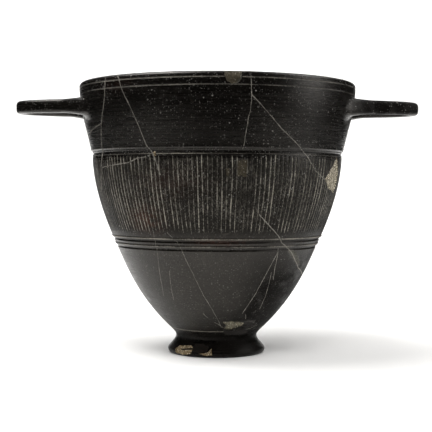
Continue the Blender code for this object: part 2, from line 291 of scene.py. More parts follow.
# Heights down a stretch at a plain spacing, and more of them wherever a mark is.
def rowHeights(high, low, spacing):
    heights = list(np.linspace(high, low, max(2, round((high - low) / spacing)) + 1))
    for middle, halfWidth, _, _ in marks.values():
        for part in (-1.25, -1, -0.66, -0.33, 0, 0.33, 0.66, 1, 1.25):
            extra = middle + part * halfWidth
            if low < extra < high:
                heights.append(extra)
    heights.sort(reverse=True)
    kept = [heights[0]]
    for height in heights[1:]:
        if kept[-1] - height > 0.1:
            kept.append(height)
    kept[-1] = low
    return kept


def arcPoints(centre, radius, start, end, steps):
    angles = np.radians(np.linspace(start, end, steps + 1))
    return [(centre[0] + radius * math.cos(a), centre[1] + radius * math.sin(a)) for a in angles]


# The wall's inside, as radius and height from the top down: the outside moved in by its thickness.
def insidePoints():
    points = []
    for name, steps in insideRows.items():
        low, high, _, _, lowSlope, highSlope = stretches[name]
        for t in np.linspace(1, 0, steps + 1):
            height = low + t * (high - low)
            slope = (wallRadius(height + 0.05) - wallRadius(height - 0.05)) / 0.1
            slope = highSlope if t == 1 else lowSlope if t == 0 else slope
            lean = math.hypot(1, slope)
            inward, upward = body["wall"] / lean, body["wall"] * slope / lean
            points.append((wallRadius(height) - inward, height + upward))
    return points


# Rings up the inside, over the lip, down the outside and under the foot. A ring is its radius,
# height, paleness (deposit, and painted highlight on the crests), number of columns and share of the way up
# the band (-1 off the band).
def bodyRings():
    fine, medium, coarse = body["lineCount"] * 4, body["lineCount"] * 2, body["lineCount"]
    rings = []

    inside = insidePoints()
    floorRadius, floorEdge = inside[-1]
    floorSlope = 1 / stretches["bowl"][4]
    for radius in np.linspace(2, floorRadius, body["floorRings"] + 1)[:-1]:
        t = radius / floorRadius
        height = hermite(t, body["floorLevel"], floorEdge, 0, floorSlope, floorRadius)
        rings.append((radius, height, body["floorDust"], coarse, -1))
    rings += [(radius, height, 0.0, coarse, -1) for radius, height in reversed(inside[1:])]

    lipRound = body["wall"] / 2
    lipCentre = (body["rimRadius"] - lipRound, body["height"] - lipRound)
    lip = arcPoints(lipCentre, lipRound, 180, 0, body["lipSteps"])
    rings += [(radius, height, 0.0, medium, -1) for radius, height in lip]

    for name, (top, bottom, spacing) in outsideRows.items():
        for height in rowHeights(top, bottom, spacing):
            relief, depositAndHighlight = markAt(height)
            columns, share = medium, -1
            if name == "band":
                columns, share = fine, (height - bottom) / (top - bottom)
            rings.append((wallRadius(height) + relief, height, depositAndHighlight, columns, share))

    footCentre = (body["footRadius"] - body["footRound"], body["footRound"])
    foot = arcPoints(footCentre, body["footRound"], body["footFlare"], -90, body["footSteps"])
    ringInside = footCentre[0] - body["ringWidth"]
    recessSide = ringInside - body["recessSide"]
    foot += [(ringInside + outward, upward) for outward, upward in body["ringEdge"]]
    foot += [(recessSide + outward, body["recessDepth"] + upward) for outward, upward in body["recessEdge"]]
    foot += [(radius, body["recessDepth"]) for radius in body["recessRings"]]
    rings += [(radius, height, 0.0, coarse, -1) for radius, height in foot]
    return rings


# Faces between two rings of points. Where one ring has more points, they fan out from the other.
def ringFaces(startA, countA, startB, countB):
    faces = []
    coarse = min(countA, countB)
    stepA, stepB = countA // coarse, countB // coarse
    for j in range(coarse):
        upper = [startA + (j * stepA + k) % countA for k in range(stepA + 1)]
        lower = [startB + (j * stepB + k) % countB for k in range(stepB + 1)]
        if stepA == stepB:
            faces.append((upper[0], upper[1], lower[1], lower[0]))
            continue
        few, many = (upper, lower) if stepA < stepB else (lower, upper)
        half = len(many) // 2
        faces += [(few[0], many[k], many[k + 1]) for k in range(half)]
        faces.append((few[0], many[half], few[1]))
        faces += [(few[1], many[k], many[k + 1]) for k in range(half, len(many) - 1)]
    return faces


# Turned mesh of the rings, with the values that the incised band is shaped by. Four columns make
# one line: its bottom, an edge, the middle of the land between two lines, and the other edge.
def turnedBody():
    rings = bodyRings()
    verts, faces, starts = [], [], []
    stored = {name: [] for name in ("line", "side", "land", "along", "depositAndHighlight", "ruddy", "mattShade")}
    for radius, height, pale, count, share in rings:
        starts.append(len(verts))
        isOutside = radius > wallRadius(height) - body["wall"] / 3
        for column in range(count):
            angle = math.tau * column / count
            degrees = math.degrees(angle)
            verts.append(turnedPoint(angle, radius, height))
            stored["line"].append((column + 1) // 4 if share >= 0 else -1)
            stored["side"].append((0, 1, 0, -1)[column % 4])
            stored["land"].append(1.0 if column % 4 == 2 else 0.0)
            stored["along"].append(share)
            more = body["mostDeposit"] * patchesAt(palePatches, degrees, height)
            stored["depositAndHighlight"].append(pale * (1 + more))
            stored["ruddy"].append(patchesAt(ruddyPatches, degrees, height) if isOutside else 0.0)
            stored["mattShade"].append(patchesAt(mattShadePatches, degrees, height) if isOutside else 0.0)
    for i in range(len(rings) - 1):
        faces += ringFaces(starts[i], rings[i][3], starts[i + 1], rings[i + 1][3])
    for ring, level in ((0, body["floorLevel"]), (len(rings) - 1, body["recessDepth"])):
        centre = len(verts)
        verts.append((0, 0, level * mm))
        for name, values in stored.items():
            values.append(-1 if name in ("line", "along") else 0)
        count = rings[ring][3]
        faces += [(starts[ring] + j, starts[ring] + (j + 1) % count, centre) for j in range(count)]
    mesh = bpy.data.meshes.new("turnedBody")
    mesh.from_pydata(verts, [], faces)
    for name, values in stored.items():
        storeValues(mesh, name, values)
    cleanMesh(mesh)
    return mesh


# Black clay fired without air and rubbed with a smooth stone: nearly black and softly shiny, greyer and
# duller where the skin is worn, with pale earth left in the cut lines.
# Part of the colour is painted light: a painted reflection of the floor on the lower bowl, a painted
# highlight on the crests and painted shade in patches.
def burnishedClay():
    look = {
        "deep": "#070605",
        "brown": "#0b0908",
        "streak": "#191715",
        "wornAndSheen": "#22201c",
        "reddish": "#3d1c10",
        "dust": "#4c4740",
        "depositAndHighlight": "#c1bbad",
        "grit": "#b3b0aa",
        "strokeSpacing": 1.1,  # mm
        "poreSize": 0.5,  # mm
        "beadSize": 0.95,  # mm
        "coarseGrit": (2.3, 0.5, 0.45, 0.85),  # mm from grain to grain and radius, share left out, strength
        "fineGrit": (1.1, 0.36, 0.1, 0.52),
        "roughness": 0.21,
        "specular": 0.39,
        "gloss": "#fff9f1",  # the burnished skin reflects a touch warm
    }
    material, tree, shader = newMaterial("Burnished black clay")
    place = addNode(tree, "ShaderNodeTexCoord").outputs["Object"]
    split = addNode(tree, "ShaderNodeSeparateXYZ", [place])
    stored = {}
    for name in ("ruddy", "mattShade", "depositAndHighlight", "residue"):
        stored[name] = addNode(tree, "ShaderNodeAttribute", attribute_name=name).outputs["Fac"]

    # A noise of a given grain in mm, with the part between two levels spread out.
    def grains(size, low, high, detail=4.0, roughness=0.6, vector=place):
        values = {"Vector": vector, "Scale": 1 / (size * mm), "Detail": detail, "Roughness": roughness}
        spots = addNode(tree, "ShaderNodeTexNoise", values)
        return addNode(tree, "ShaderNodeMapRange", [spots, low, high])

    # A fade between two heights in mm.
    def fade(fromHeight, toHeight, start=0.0, end=1.0):
        values = [split.outputs["Z"], fromHeight * mm, toHeight * mm, start, end]
        return addNode(tree, "ShaderNodeMapRange", values)

    # Burnishing strokes run level round the cup, a millimetre or two apart.
    flat = addNode(tree, "ShaderNodeMapping", {"Vector": place, "Scale": (0.035, 0.035, 1.0)})
    strokes = grains(look["strokeSpacing"], 0.36, 0.74, detail=5.0, vector=flat)
    belowCollar = fade(120, 68, 0.3, 1.0)
    streaky = product(tree, strokes, grains(12, 0.3, 0.7), belowCollar)
    ruddy = product(tree, stored["ruddy"], grains(2.4, 0.35, 0.6, detail=5.0))

    # The skin is greyer towards the foot than under the lip, and not on the foot itself: partly wear,
    # partly a painted reflection of the floor that lightens the lower bowl.
    # In the painted-shade patches the grey layer and the dust are held back, so the skin is painted darker
    # there, and it is duller.
    mattShade = product(tree, stored["mattShade"], grains(9, 0.1, 0.5, detail=6.0))
    offShadePatches = addNode(tree, "ShaderNodeMapRange", [mattShade, 0.0, 1.0, 1.0, 0.1])
    blotches = grains(5, 0.25, 0.62, detail=8.0, roughness=0.72)
    wearAndFloorSheen = product(tree, fade(90, 35, 0.12, 0.95), fade(14, 18), offShadePatches, blotches)

    # Dust in the pores and thin scratches.
    pores = grains(look["poreSize"], 0.5, 0.74, detail=2.0)
    pores = product(tree, pores, grains(9, 0.34, 0.66, detail=5.0))
    dust = product(tree, pores, offShadePatches, fade(8, 20, 0.15, 0.78), belowCollar)
    slant = {"Vector": place, "Rotation": (0.5, 0.6, 0.3), "Scale": (0.02, 1.0, 0.4)}
    slanted = addNode(tree, "ShaderNodeMapping", slant)
    hairs = grains(0.6, 0.66, 0.74, detail=2.0, vector=slanted)
    scratches = product(tree, hairs, grains(13, 0.5, 0.62), 0.4)

    # Pale grit, ragged and a quarter of a millimetre to a millimetre across, in loose groups.
    shaken = addNode(tree, "ShaderNodeTexNoise", {"Vector": place, "Scale": 1 / (0.7 * mm), "Detail": 2.0})
    shake = {0: shaken.outputs["Color"], "Scale": 0.8 * mm}
    shake = addNode(tree, "ShaderNodeVectorMath", shake, operation="SCALE")
    gritPlace = addNode(tree, "ShaderNodeVectorMath", [place, shake], operation="ADD")

    # Grains in cells of a size in mm: most of them faint, and a few bright.
    def gritLayer(cell, radius, rarest, most):
        spots = addNode(tree, "ShaderNodeTexVoronoi", {"Vector": gritPlace, "Scale": 1 / (cell * mm)})
        edge = [spots.outputs["Distance"], radius / cell, 0.45 * radius / cell]
        near = addNode(tree, "ShaderNodeMapRange", edge)
        chosen = addNode(tree, "ShaderNodeSeparateColor", [spots.outputs["Color"]])
        bright = addNode(tree, "ShaderNodeMapRange", [chosen, rarest, 1.0])
        return product(tree, near, bright, bright, most)

    coarseGrit = product(tree, gritLayer(*look["coarseGrit"]), fade(68, 80, 0.35, 1.0))
    coarseGrit = product(tree, coarseGrit, grains(15, 0.36, 0.6, detail=3.0))
    fineGrit = product(tree, gritLayer(*look["fineGrit"]), fade(68, 80, 0.55, 1.0))
    fineGrit = product(tree, fineGrit, grains(10, 0.25, 0.6))
    grit = addNode(tree, "ShaderNodeMath", [coarseGrit, fineGrit], operation="MAXIMUM")
    grit = product(tree, grit, fade(10, 18, 0.15, 1.0))

    # Pale earth in the turned and the cut lines, in beads, and stronger in some places; on the crests and
    # the ledge edge the same pale layer is a painted highlight.
    beads = grains(look["beadSize"], 0.3, 0.66, detail=3.0, roughness=0.7)
    patches = grains(17, 0.28, 0.64)
    beaded = addNode(tree, "ShaderNodeMapRange", [beads, 0.0, 1.0, 0.15, 1.3])
    patchy = addNode(tree, "ShaderNodeMapRange", [patches, 0.0, 1.0, 0.4, 1.0])
    fromMiddle = addNode(tree, "ShaderNodeMath", [split.outputs["X"]], operation="ABSOLUTE")
    toSide = addNode(tree, "ShaderNodeMapRange", [fromMiddle, 20 * mm, 66 * mm, 0.92, 1.45])
    cutPale = product(tree, stored["residue"], beaded, patchy, toSide)
    clumps = addNode(tree, "ShaderNodeMapRange", [product(tree, beads, patches), 0.0, 0.5, 0.35, 1.05])
    turnedPale = product(tree, stored["depositAndHighlight"], clumps)
    depositAndHighlight = addNode(tree, "ShaderNodeMath", [cutPale, turnedPale], operation="MAXIMUM")
    depositAndHighlight = addNode(tree, "ShaderNodeMapRange", [depositAndHighlight, 0.1, 0.62, 0.0, 0.85])

    # Smears of it between the cut lines.
    upright = addNode(tree, "ShaderNodeMapping", {"Vector": place, "Scale": (1.0, 1.0, 0.3)})
    smears = grains(0.6, 0.5, 0.72, detail=3.0, vector=upright)
    smears = product(tree, smears, fade(74, 84), fade(115.5, 112), patches, 0.27)
    depositAndHighlight = addNode(tree, "ShaderNodeMath", [depositAndHighlight, smears], operation="MAXIMUM")

    layers = [("brown", grains(22, 0.36, 0.7)), ("streak", streaky), ("reddish", ruddy), ("wornAndSheen", wearAndFloorSheen)]
    layers += [("dust", dust), ("dust", scratches), ("grit", grit), ("depositAndHighlight", depositAndHighlight)]
    colour = linearColour(look["deep"])
    for name, mask in layers:
        values = {0: mask, 6: colour, 7: linearColour(look[name])}
        colour = addNode(tree, "ShaderNodeMix", values, data_type="RGBA")

    # Shiny where it is whole, duller in the band and where it is worn, matt or pale.
    inBand = product(tree, fade(68, 76), fade(116, 96))
    pale = addNode(tree, "ShaderNodeMath", [grit, depositAndHighlight], operation="MAXIMUM")
    rough = look["roughness"]
    for mask, more in ((strokes, 0.1), (wearAndFloorSheen, 0.2), (mattShade, 0.25), (inBand, 0.18), (pale, 0.4)):
        values = [mask, more, rough]
        rough = addNode(tree, "ShaderNodeMath", values, operation="MULTIPLY_ADD", use_clamp=True)
    shiny = addNode(tree, "ShaderNodeMapRange", [mattShade, 0.0, 1.0, look["specular"], 0.05])
    offBand = addNode(tree, "ShaderNodeMapRange", [inBand, 0.0, 1.0, 1.0, 0.28])
    polish = product(tree, shiny, offBand, fade(62, 44, 1.0, 0.86), fade(16, 12, 1.0, 0.42))
    relief = [strokes, 0.35, grains(0.8, 0.2, 0.8)]
    relief = addNode(tree, "ShaderNodeMath", relief, operation="MULTIPLY_ADD")
    bump = addNode(tree, "ShaderNodeBump", {"Height": relief, "Strength": 0.8, "Distance": 0.12 * mm})
    setInputs(tree, shader, {"Base Color": colour, "Roughness": rough, "Normal": bump, "IOR": 1.5})
    setInputs(tree, shader, {"Specular IOR Level": polish, "Specular Tint": linearColour(look["gloss"])})
    return material


# A dry, grainy material without shine: one colour broken by a second in grains and by specks.
def dryMaterial(name, colourA, colourB, speckColour, grainSize, speckShare):
    material, tree, shader = newMaterial(name)
    place = addNode(tree, "ShaderNodeTexCoord").outputs["Object"]
    grain = {"Vector": place, "Scale": 1 / (grainSize * mm), "Detail": 6.0, "Roughness": 0.7}
    grain = addNode(tree, "ShaderNodeTexNoise", grain)
    specks = addNode(tree, "ShaderNodeTexNoise", {"Vector": place, "Scale": 1 / (0.7 * mm), "Detail": 2.0})
    colour = linearColour(colourA)
    rarest = 0.75 - speckShare
    layers = [(grain, 0.32, 0.68, colourB), (specks, rarest, rarest + 0.05, speckColour)]
    for spots, low, high, over in layers:
        mask = addNode(tree, "ShaderNodeMapRange", [spots, low, high])
        values = {0: mask, 6: colour, 7: linearColour(over)}
        colour = addNode(tree, "ShaderNodeMix", values, data_type="RGBA")
    bump = addNode(tree, "ShaderNodeBump", {"Height": grain, "Strength": 0.6, "Distance": 0.3 * mm})
    setInputs(tree, shader, {"Base Color": colour, "Normal": bump, "Roughness": 0.85})
    return material


# What shows in the losses: name, dark and light colour, specks, grain in mm, share of specks.
dryLooks = {
    "brokenClay": ("Broken clay", "#3b3428", "#8c836f", "#f0e6cf", 1.9, 0.2),  # sandy core
    "olivePlaster": ("Olive filling plaster", "#231e14", "#4a4334", "#8d877b", 1.3, 0.1),  # tinted
    "tanPlaster": ("Tan filling plaster", "#2b2013", "#a8936f", "#e8dcc2", 1.5, 0.16),  # chalky
    "oldBreak": ("Old olive break", "#211f15", "#7c7662", "#c2bba6", 2.4, 0.14),  # stained
    # Near black: stained dark breaks in the lip nick, the foot and the end of the bowl break, and painted
    # shade in the low part of the bowl break.
    "darkBreakAndShade": ("Dark old break and painted shade", "#0b0806", "#1d1610", "#5a5142", 1.5, 0.05),  # stained dark
    "greyFilling": ("Grey filling", "#33322c", "#65625a", "#8d897e", 1.4, 0.07),  # paste rubbed level
}

clay = burnishedClay()
paints = {key: dryMaterial(*look) for key, look in dryLooks.items()}
# The paste that holds the sherds together is thin, dry and rubbed pale.
joinPaste = dryMaterial("Grey joining paste", "#5a5751", "#9f9a90", "#bcb6aa", 1.2, 0.06)
print("materials made")


band = {
    "Line width": 0.78 * mm,
    "Line depth": 0.34 * mm,
    "Wander": 0.32 * mm,
    "Ragged ends": 0.045,  # share of the band's height
    "Top end": 1.015,  # share of the band's height that the longest lines reach
    "Seed": 11,
}


def bandTree():
    inputs = {"Geometry": "Geometry", "Line count": "Int"}
    inputs.update({name: "Int" if name == "Seed" else "Float" for name in band})
    tree, given = startTree("Incised band", {**inputs, "Material": "Material"})
    line, side, land, along = (
        addNode(tree, "GeometryNodeInputNamedAttribute", {"Name": name}, data_type="FLOAT")
        for name in ("line", "side", "land", "along")
    )
    place = addNode(tree, "GeometryNodeInputPosition")
    split = addNode(tree, "ShaderNodeSeparateXYZ", [place]).outputs
    level = addNode(tree, "ShaderNodeCombineXYZ", [split["X"], split["Y"]])
    radius = addNode(tree, "ShaderNodeVectorMath", [level], operation="LENGTH")

    # A noise along each line, which is another one for every line.
    apart = product(tree, line, 3.71)

    def lineNoise(rate, layer, scale, detail):
        spot = addNode(tree, "ShaderNodeCombineXYZ", [apart, product(tree, along, rate), layer])
        return addNode(tree, "ShaderNodeTexNoise", {"Vector": spot, "Scale": scale, "Detail": detail})

    # Each line wanders by its own noise and has its own width and strength.
    sway = [lineNoise(1.7, given["Seed"], 1.0, 1.0), 0.5]
    sway = addNode(tree, "ShaderNodeMath", sway, operation="SUBTRACT")
    sway = product(tree, sway, given["Wander"], 4.0)
    cutNoise = lineNoise(6.0, 9.0, 1.0, 2.0)
    widthShare = addNode(tree, "ShaderNodeMapRange", [cutNoise, 0.25, 0.75, 0.3, 0.7])
    edge = product(tree, given["Line width"], widthShare, side)
    shift = addNode(tree, "ShaderNodeMath", [sway, edge], operation="ADD")
    shift = addNode(tree, "ShaderNodeMath", [shift, radius], operation="DIVIDE")
    offLand = addNode(tree, "ShaderNodeMath", [1.0, land], operation="SUBTRACT")
    shift = product(tree, shift, offLand)
    number = addNode(tree, "ShaderNodeMath", [land, 0.5, line], operation="MULTIPLY_ADD")
    pitch = addNode(tree, "ShaderNodeMath", [math.tau, given["Line count"]], operation="DIVIDE")
    angle = addNode(tree, "ShaderNodeMath", [number, pitch, shift], operation="MULTIPLY_ADD")

    # Something random for each line, between two values.
    lineId = addNode(tree, "FunctionNodeFloatToInt", [line])

    def ownRandom(offset, low=0.0, high=1.0):
        seed = addNode(tree, "ShaderNodeMath", [given["Seed"], offset], operation="ADD")
        values = {2: low, 3: high, "ID": lineId, "Seed": seed}
        return addNode(tree, "FunctionNodeRandomValue", values, data_type="FLOAT")

    # A line fades in at its two ends, which lie a little unevenly.
    topGap = product(tree, ownRandom(3), given["Ragged ends"])
    topEnd = addNode(tree, "ShaderNodeMath", [given["Top end"], topGap], operation="SUBTRACT")
    lowEnd = product(tree, ownRandom(8), given["Ragged ends"])
    fades = []
    for further, nearer, quickness in ((topEnd, along, 40.0), (along, lowEnd, 26.0)):
        gap = addNode(tree, "ShaderNodeMath", [further, nearer], operation="SUBTRACT")
        values = [gap, quickness]
        fades.append(addNode(tree, "ShaderNodeMath", values, operation="MULTIPLY", use_clamp=True))
    offSide = addNode(tree, "ShaderNodeMath", [side], operation="ABSOLUTE")
    bottom = addNode(tree, "ShaderNodeMath", [offLand, offSide], operation="SUBTRACT")
    strength = addNode(tree, "ShaderNodeMapRange", [cutNoise, 0.3, 0.7, 0.7, 1.0])
    cut = product(tree, bottom, product(tree, *fades), strength)

    # Pale earth stays more in some lines than in others, and in some lengths of a line.
    lengths = addNode(tree, "ShaderNodeMapRange", [lineNoise(6.0, 31.0, 1.3, 2.0), 0.3, 0.6, 0.45, 1.15])
    residue = product(tree, ownRandom(21, 0.42, 1.3), lengths, cut)

    depth = product(tree, cut, given["Line depth"])
    newRadius = addNode(tree, "ShaderNodeMath", [radius, depth], operation="SUBTRACT")
    x = product(tree, newRadius, addNode(tree, "ShaderNodeMath", [angle], operation="SINE"))
    y = product(tree, newRadius, addNode(tree, "ShaderNodeMath", [angle], operation="COSINE"), -1.0)
    newPlace = addNode(tree, "ShaderNodeCombineXYZ", [x, y, split["Z"]])
    inBand = {"A": along, "B": -0.5}
    inBand = addNode(tree, "FunctionNodeCompare", inBand, data_type="FLOAT", operation="GREATER_THAN")
    moved = {"Geometry": given["Geometry"], "Selection": inBand, "Position": newPlace}
    moved = addNode(tree, "GeometryNodeSetPosition", moved)
    stored = {"Geometry": moved, "Selection": inBand, "Name": "residue", "Value": residue}
    stored = addNode(tree, "GeometryNodeStoreNamedAttribute", stored, data_type="FLOAT", domain="POINT")
    endTree(tree, stored, given["Material"])
    return tree


cup = addMeshObject("cup", turnedBody())
runTree(cup, bandTree(), {**band, "Line count": body["lineCount"], "Material": clay})
print("body turned and incised:", len(cup.data.vertices), "points")


handle = {
    "level": 146.0,  # mm above the table, middle of the bar
    "reach": 120.8,  # axis to the outer face of the tip
    "height": 8.0,
    "width": 6.8,
    "squareness": 3.2,
    "tipBend": 11.0,
    "tipSize": 0.94,
    "legOut": 91.0,
    "legApart": 17.4,
    "legSpread": 15.0,
    "legBend": 12.0,
    "rootAngle": 27.0,
    "rootBend": 10.0,
    "rootSink": 11.0,
    "rootFlare": 1.5,
    "rootSag": 1.4,
    "steps": 22,
    "sectionPoints": 36,
    "seamReach": 3.4,  # how far the join with the wall is smoothed
    "seamBand": 14.0,  # above and below the bar
    "seamInside": 77.9,  # least distance from the axis, which leaves the inner wall alone
    "seamStrength": 0.6,
    "seamRounds": 30,
    "coreTop": 158.0,
    "coreRows": (155.0, 118.0, 14),  # from, to and number
}


# The bar's section, square with round corners.
def handleSection():
    section = bpy.data.curves.new("handleSection", "CURVE")
    section.dimensions = "2D"
    outline = section.splines.new("POLY")
    outline.points.add(handle["sectionPoints"] - 1)
    power = 2 / handle["squareness"]
    for i, point in enumerate(outline.points):
        angle = math.tau * i / handle["sectionPoints"]
        across = math.copysign(abs(math.cos(angle)) ** power, math.cos(angle))
        upward = math.copysign(abs(math.sin(angle)) ** power, math.sin(angle))
        point.co = (across * handle["width"] / 2 * mm, upward * handle["height"] / 2 * mm, 0, 1)
    outline.use_cyclic_u = True
    return addMeshObject("handleSection", section)


# One loop, swept from root to tip to root, with thicker roots that end inside the wall.
def handleMesh():
    section = handleSection()
    curve = bpy.data.curves.new("handlePath", "CURVE")
    curve.dimensions = "3D"
    curve.twist_mode = "Z_UP"
    curve.resolution_u = handle["steps"]
    curve.bevel_mode = "OBJECT"
    curve.bevel_object = section
    curve.use_fill_caps = True
    rootAngle = math.radians(handle["rootAngle"])
    rootOut = Vector((math.cos(rootAngle), -math.sin(rootAngle), 0))
    rootRadius = wallRadius(handle["level"]) - handle["rootSink"]
    root = rootOut * rootRadius + Vector((0, 0, handle["level"] - handle["rootSag"]))
    rootArm = rootOut * handle["rootBend"]
    leg = Vector((handle["legOut"], -handle["legApart"], handle["level"]))
    spread = math.radians(handle["legSpread"])
    legArm = Vector((math.cos(spread), math.sin(spread), 0)) * handle["legBend"]
    tip = Vector((handle["reach"] - handle["width"] / 2, 0, handle["level"]))
    tipArm = Vector((0, handle["tipBend"], 0))
    near = [(root, -rootArm, rootArm, handle["rootFlare"]), (leg, -legArm / 2, legArm, 1.0)]
    flip = Vector((1, -1, 1))
    far = [(place * flip, forth * flip, back * flip, size) for place, back, forth, size in reversed(near)]
    stations = near + [(tip, -tipArm, tipArm, handle["tipSize"])] + far
    path = curve.splines.new("BEZIER")
    path.radius_interpolation = "EASE"
    path.bezier_points.add(len(stations) - 1)
    for point, (place, back, forth, size) in zip(path.bezier_points, stations):
        point.handle_left_type = "FREE"
        point.handle_right_type = "FREE"
        point.co = place * mm
        point.handle_left = (place + back) * mm
        point.handle_right = (place + forth) * mm
        point.radius = size
    swept = addMeshObject("handlePath", curve)
    bpy.context.view_layer.update()
    mesh = bpy.data.meshes.new_from_object(swept.evaluated_get(bpy.context.evaluated_depsgraph_get()))
    bpy.data.objects.remove(swept)
    bpy.data.objects.remove(section)
    cleanMesh(mesh, 0.01 * mm)
    return mesh


# The plain body moved in by half the wall, which trims the handle's ends inside the clay.
def innerCore():
    shape = bmesh.new()
    count = body["lineCount"]
    rows = []
    for height in [handle["coreTop"], *np.linspace(*handle["coreRows"])]:
        radius = wallRadius(height) - body["wall"] / 2
        ring = [turnedPoint(math.tau * c / count, radius, height) for c in range(count)]
        rows.append([shape.verts.new(point) for point in ring])
    for upper, lower in zip(rows, rows[1:]):
        for c in range(count):
            after = (c + 1) % count
            shape.faces.new((upper[c], upper[after], lower[after], lower[c]))
    shape.faces.new(rows[0])
    shape.faces.new(rows[-1])
    mesh = bpy.data.meshes.new("innerCore")
    shape.to_mesh(mesh)
    shape.free()
    cleanMesh(mesh)
    return addMeshObject("innerCore", mesh)


def joinHandles(marker):
    mesh = handleMesh()
    mesh.materials.append(marker)
    loops = addMeshObject("handles", mesh)
    mirror = loops.modifiers.new("Other side", "MIRROR")
    mirror.use_axis = (True, False, False)
    mirror.use_mirror_merge = False
    core = innerCore()
    core.data.materials.append(marker)
    addBoolean(loops, "DIFFERENCE", core)
    applyModifiers(loops)
    addBoolean(cup, "UNION", loops)
    applyModifiers(cup)
    bpy.data.objects.remove(core)
    bpy.data.objects.remove(loops)


# Evens out the points near the seam, most of all on it, as wet clay is smoothed over a join.
def smoothSeam(shape, seam):
    tree = kdtree.KDTree(len(seam))
    for i, vert in enumerate(seam):
        tree.insert(vert.co, i)
    tree.balance()
    reach = handle["seamReach"] * mm
    soft = []
    for vert in shape.verts:
        isNear = abs(vert.co.z - handle["level"] * mm) < handle["seamBand"] * mm
        if isNear and math.hypot(vert.co.x, vert.co.y) > handle["seamInside"] * mm:
            distance = tree.find(vert.co)[2]
            if distance < reach:
                soft.append((vert, handle["seamStrength"] * (1 - distance / reach)))
    for _ in range(handle["seamRounds"]):
        moved = []
        for vert, weight in soft:
            around = [edge.other_vert(vert).co for edge in vert.link_edges]
            moved.append(vert.co.lerp(sum(around, Vector()) / len(around), weight))
        for (vert, _), place in zip(soft, moved):
            vert.co = place
    return len(soft)


def addHandles():
    marker = paints["olivePlaster"]  # marks the handles until the seam is found
    joinHandles(marker)
    shape = bmesh.new()
    shape.from_mesh(cup.data)
    slot = [material.name for material in cup.data.materials].index(marker.name)
    seam = set()
    for edge in shape.edges:
        if len({face.material_index == slot for face in edge.link_faces}) == 2:
            seam.update(edge.verts)
    softened = smoothSeam(shape, seam)
    for face in shape.faces:
        face.material_index = 0
    # The painted-shade patches also darken and dull the handles, as at the right handle's root.
    mattShadeLayer = shape.verts.layers.float["mattShade"]
    for vert in shape.verts:
        if math.hypot(vert.co.x, vert.co.y) > (body["rimRadius"] + 1) * mm:
            angle = math.degrees(math.atan2(vert.co.x, -vert.co.y))
            vert[mattShadeLayer] = patchesAt(mattShadePatches, angle, vert.co.z / mm)
    shape.to_mesh(cup.data)
    shape.free()
    cup.data.materials.clear()
    cup.data.materials.append(clay)
    return softened


print("handles joined, seam points softened:", addHandles())


# Depth in mm, depth at the lip in mm, what shows, and the outline as angles in degrees from the
# front towards +X and heights in mm.
losses = {
    "lipFilling": (0.6, 2.7, "olivePlaster", [
        (2.4, 163), (2.5, 158), (3.1, 155), (4.8, 153.1),
        (6.9, 153.1), (8.5, 155.4), (9.0, 158.5), (9.2, 163),
    ]),
    "lipFillingEdge": (0.7, 1.2, "greyFilling", [
        (6.4, 153.1), (7.8, 153.9), (8.7, 155.9), (9.0, 158.1), (8.3, 158.0), (7.9, 156.1), (7.0, 154.5),
    ]),
    "lipNick": (0.6, 1.9, "darkBreakAndShade", [(10.9, 163), (11.6, 157.6), (12.4, 157.4), (13.1, 163)]),
    "bandBreak": (0.8, 0.8, "brokenClay", [
        (67.3, 116.4), (61, 109.5), (56.2, 103.6), (61.5, 98.4), (70.3, 95.9), (73, 99.5), (72, 108),
    ]),
    "bowlBreak": (0.9, 0.9, "oldBreak", [
        (6.6, 21.7), (13.3, 22.1), (23.8, 21.6), (30.1, 20.7), (27.3, 18.7),
        (20.1, 17.4), (14.3, 16.5), (8.3, 17.4), (9.9, 19.4),
    ]),
    "bowlBreakEnd": (0.5, 0.5, "darkBreakAndShade", [
        (28.0, 21.0), (34.2, 21.3), (47.5, 19.3), (42.4, 18.3), (32.4, 18.5), (27.9, 18.7),
    ]),
    # A shallow plug painted near black: painted shadow in the low, hollow part of the bowl break.
    "bowlBreakShadow": (0.4, 0.4, "darkBreakAndShade", [
        (7.9, 16.6), (15.4, 15.6), (27.4, 16.2), (39.4, 15.7),
        (46.4, 13.3), (32.1, 12.5), (14.5, 12.9), (7.9, 14.7),
    ]),
    "footBreak": (0.8, 0.8, "tanPlaster", [
        (-57.6, 4.0), (-53.2, 5.6), (-33.1, 6.4), (-29.5, 5.1), (-30.7, 2.0), (-41.7, 1.0), (-54.3, 1.4),
    ]),
    "footBreakSlot": (1.2, 1.2, "darkBreakAndShade", [(-50.3, 3.8), (-31.0, 5.2), (-29.8, 4.2), (-48.5, 3.1)]),
    "footStain": (0.6, 0.6, "darkBreakAndShade", [
        (-29.9, 7.4), (-19.7, 7.7), (-9.0, 6.3), (-11, 3.6), (-19.8, 2.8), (-29.4, 3.0),
    ]),
    "footStainEdge": (0.35, 0.35, "tanPlaster", [
        (-21, 2.5), (-10.4, 3.2), (-5.8, 5.4), (-4.9, 1.9), (-12, 1.3),
    ]),
    "bandFilling": (0.3, 0.3, "olivePlaster", [(8.2, 113.2), (12.4, 113.2), (12.5, 104.6), (8.3, 104.7)]),
    "bowlFilling": (0.3, 0.3, "greyFilling", [
        (40.4, 65.6), (44.6, 64.9), (51.3, 60.9), (57.8, 56.4), (59.5, 54), (51, 57.2), (44.8, 61),
    ]),
    "bandSpot": (0.3, 0.3, "olivePlaster", [(3.6, 109), (5.0, 109), (5.0, 104.7), (3.8, 104.7)]),
    "collarSpot": (0.3, 0.3, "tanPlaster", [
        (-27.8, 118.4), (-26.4, 118.4), (-26.5, 115.4), (-27.7, 115.4),
    ]),
}

